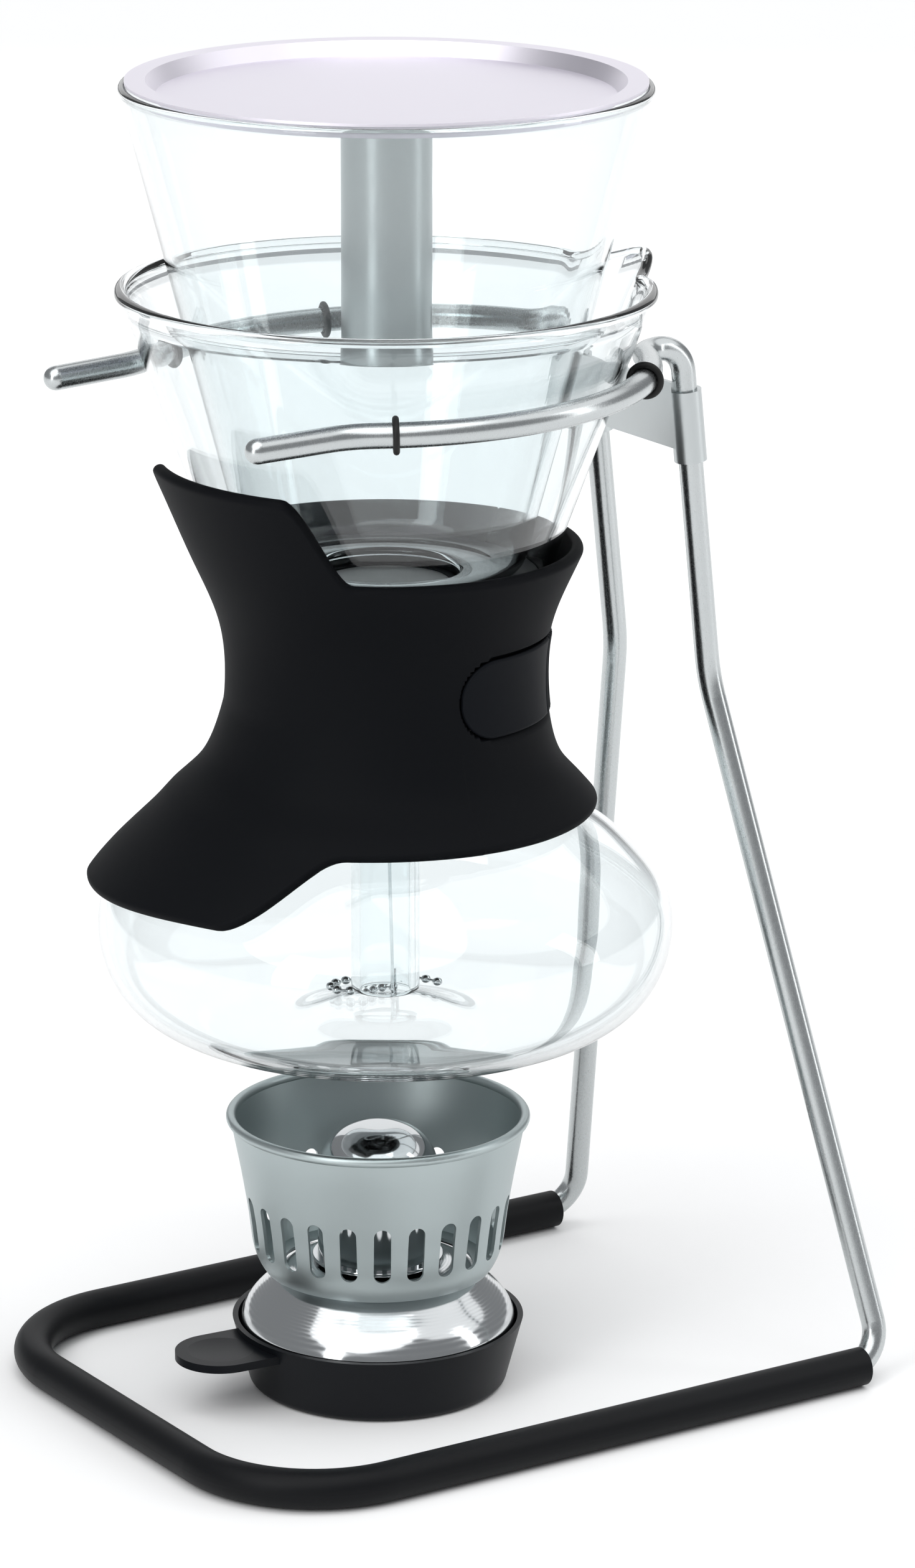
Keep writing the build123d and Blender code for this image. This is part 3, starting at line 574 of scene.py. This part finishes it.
RIB_HEIGHT = 0.22
RIB_TURN = 2.2                  # radians of the ribs' wave per degree round the sleeve
RIB_SINK = 0.1
RECESS = 1.9
RECESS_GAP = 0.6                # the recess is this much larger than the strap all round
RECESS_SLOPE = 0.6
RECESS_PAST = 2.0               # degrees that it may reach past either end of the strap
sleeve_line = np.array(smooth(SLEEVE_OUTER, 10))[::-1]


def wing(degrees, middle, half, slope, radius):
    """How far a wing has risen at an angle, 0 to 1."""
    turn = math.radians((degrees - middle + 180) % 360 - 180)
    if abs(turn) >= math.pi / 2:
        return 0.0
    return float(ease((half + slope - radius * abs(math.sin(turn))) / (2 * slope)))


def droop(degrees):
    """Share of the lobe's droop reached at an angle, 0 to 1."""
    return float(ease((LOBE_LEVEL_END - degrees) / LOBE_DROOP_RUN))


def sleeve_radius(z, degrees):
    """Outer radius, standing off the glass more over the lower lobe."""
    heights, extra = zip(*LOBE_STAND_OFF)
    return (np.interp(z, sleeve_line[:, 1], sleeve_line[:, 0])
            + wing(degrees, *WING_STAND_OFF) * np.interp(z, heights, extra))


def tongue_half(degrees, grow=0.0):
    """Half height of the strap at an angle, rounded towards its free end."""
    across = (degrees - STRAP_END) * math.radians(1) * STRAP_R + grow
    full = STRAP_HALF + grow
    if across <= 0:
        return 0.0
    return full * math.sqrt(max(0.0, 1 - max(0.0, 1 - across / full) ** 2))


def recess_depth(z, degrees):
    """Depth of the seat that the strap lies in."""
    if not STRAP_END - RECESS_PAST < degrees < STRAP_ROOT + RECESS_PAST:
        return np.zeros_like(z)
    half = tongue_half(degrees, RECESS_GAP)
    return RECESS * ease((half - np.abs(z - STRAP_Z)) / RECESS_SLOPE)


def closed_sheet(name, columns):
    """Mesh through closed loops of points, capped at both ends."""
    size = len(columns[0])
    points = [point for column in columns for point in column]
    last = (len(columns) - 1) * size
    faces = []
    for a in range(0, last, size):
        for k in range(size):
            n = (k + 1) % size
            faces.append((a + k, a + n, a + size + n, a + size + k))
    for a in (0, last):
        for k in range(size // 2 - 1):
            faces.append((a + k, a + k + 1, a + size - 2 - k, a + size - 1 - k))
    piece = add_mesh(name, points, faces, 40)
    outward(piece)
    return piece


def sleeve_column(degrees):
    """Closed outline of the rubber at one angle: down the outside and up the inside."""
    top = SLEEVE_TOP_Z + (WING_TOP_Z - SLEEVE_TOP_Z) * wing(degrees, *WING_TOP)
    lobe_z = WING_LOW_Z - LOBE_DROOP * droop(degrees)
    low = SLEEVE_LOW_Z + (lobe_z - SLEEVE_LOW_Z) * wing(degrees, *WING_LOW)
    z = top + (low - top) * (1 - np.cos(np.linspace(0, math.pi, SLEEVE_POINTS))) / 2
    r = sleeve_radius(z, degrees)
    run = np.stack([np.gradient(r), np.gradient(z)], axis=1)
    run /= np.linalg.norm(run, axis=1)[:, None]
    normal = np.stack([-run[:, 1], run[:, 0]], axis=1)
    way = np.concatenate([[0], np.cumsum(np.hypot(np.diff(r), np.diff(z)))])
    edge = np.clip(np.minimum(way, way[-1] - way) / SLEEVE_EDGE, 0, 1)
    half = SLEEVE_WALL / 2 * np.sqrt(np.clip(1 - (1 - edge) ** 2, SLEEVE_THINNEST, 1))
    middle = np.stack([r, z], axis=1) - normal * SLEEVE_WALL / 2
    outer = middle + normal * (half - recess_depth(z, degrees))[:, None]
    inner = middle - normal * half[:, None]
    spin = math.radians(degrees)
    return [(q[0] * math.cos(spin), q[0] * math.sin(spin), q[1]) for q in [*outer, *inner[::-1]]]


def grip_sleeve():
    """Open ring of rubber with its slit, wings and the recess for the strap."""
    fine = np.arange(STRAP_END + SLEEVE_FINE[0], STRAP_END + SLEEVE_FINE[1], SLEEVE_FINE_STEP)
    coarse = np.arange(SLIT_ANGLE - 360, SLIT_ANGLE, SLEEVE_STEP)
    gap = math.degrees(SLIT_HALF / SLIT_R)
    inside = coarse[(coarse > SLIT_ANGLE - 360 + gap) & (coarse < SLIT_ANGLE - gap)]
    inside = inside[(inside < fine[0]) | (inside > fine[-1])]
    angles = sorted([SLIT_ANGLE - 360 + gap, *inside, *fine, SLIT_ANGLE - gap])
    sleeve = closed_sheet("grip_sleeve_rubber", [sleeve_column(a) for a in angles])
    stand_for(sleeve, "grip_sleeve", "carafe", SLEEVE_RUBBER)


def sleeve_strap():
    """Tongue with a rounded end and low ribs towards its root."""
    tip = STRAP_END + np.linspace(STRAP_TIP_START, 1, 20) ** 2 * STRAP_TIP
    angles = [*tip, *np.arange(STRAP_END + STRAP_TIP + 1, STRAP_ROOT, STRAP_STEP), STRAP_ROOT]
    columns = []
    for degrees in angles:
        half = tongue_half(degrees)
        z = STRAP_Z + half * np.cos(np.linspace(0, math.pi, STRAP_POINTS))
        base = sleeve_radius(z, degrees)
        edge = np.clip((half - np.abs(z - STRAP_Z)) / STRAP_EDGE, 0, 1)
        rib = 0.0
        if degrees > RIB_START:
            rib = RIB_HEIGHT * math.cos((degrees - RIB_START) * RIB_TURN) - RIB_SINK
        outer = base + STRAP_PROUD + rib - STRAP_EDGE_DROP * (1 - edge) ** 2
        inner = base + STRAP_PROUD - STRAP_THICK
        spin = math.radians(degrees)
        columns.append([(r * math.cos(spin), r * math.sin(spin), h)
                        for r, h in [*zip(outer, z), *zip(inner[::-1], z[::-1])]])
    strap = closed_sheet("sleeve_strap_rubber", columns)
    stand_for(strap, "sleeve_strap", "strap", STRAP_RUBBER)


grip_sleeve()
sleeve_strap()


# ---------------------------------------------------------------- polished burner pieces
TANK_SHOULDER = [(39.8, 18.7), (39.8, 19.4), (38.6, 22.6), (36.0, 26.2), (32.2, 30.0),
                 (28.4, 33.4), (20.0, 36.3), (12.0, 37.0)]
TANK_NECK = [(9.0, 37.3), (9.0, 42.0), (8.2, 42.0), (8.2, 36.0)]
TANK_INSIDE = [(20.0, 35.2), (28.0, 32.4), (35.2, 25.6), (38.6, 20.0), (39.0, 18.7)]
CAP_OUTER = [(17.4, 38.4, 0), (17.4, 77.4, 13.5), (0.0, 77.4, 0)]       # radius, z, rounding
CAP_INNER = [(0.0, 76.6, 0), (16.6, 76.6, 12.7), (16.6, 37.5, 0)]
CAP_FLANGE = [(17.0, 37.4), (18.8, 37.4), (19.0, 37.7), (19.0, 38.1), (18.8, 38.4)]


def fuel_tank():
    """Top of the tank, one smooth shoulder up to the neck."""
    outline = smooth(TANK_SHOULDER, 8) + TANK_NECK + TANK_INSIDE
    tank = lathe("tank_top", outline, turns=256, centre=BURNER, sharp=50)
    stand_for(tank, "fuel_tank", "burner", TURNED)


def snuffer_cap():
    """Dome with a small rolled flange at its mouth."""
    outline = rounded(CAP_OUTER, 24) + rounded(CAP_INNER, 24) + CAP_FLANGE
    cap = lathe("cap_dome", outline, turns=192, centre=BURNER, sharp=50)
    stand_for(cap, "snuffer_cap", "cap", POLISHED)


fuel_tank()
snuffer_cap()


# ---------------------------------------------------------------- CAD nodes that stay
DRESSED = [
    (ROD, ("leg_frame", "arm_near", "arm_far")),
    (RING_RUBBER, ("arm_ring_near_front", "arm_ring_near_rear", "arm_ring_far_front",
                   "arm_ring_far_rear")),
    (BRACKET, ("rear_bracket",)),
    (FOOT_RUBBER, ("base_tube",)),
    (PATCH, ("fastening_patch",)),
    (GASKET, ("bowl_gasket", "filter_seal")),
    (LID_METAL, ("lid_plate",)),
    (SATIN, ("lid_tube", "tank_bottom", "cap_liner")),
    (MESH_METAL, ("filter_screen",)),
    (BRIGHT, ("filter_frame", "filter_spring", "filter_hook")),
    (TRAY_RUBBER, ("burner_tray",)),
    (POLISHED, ("wick_collar", "wick_tube")),
    (COTTON, ("wick",)),
    (MATT_ALUMINIUM, ("windshield",)),
]
for mat, nodes in DRESSED:
    for node in nodes:
        dress_node(node, mat)
dress(chain, BRIGHT)
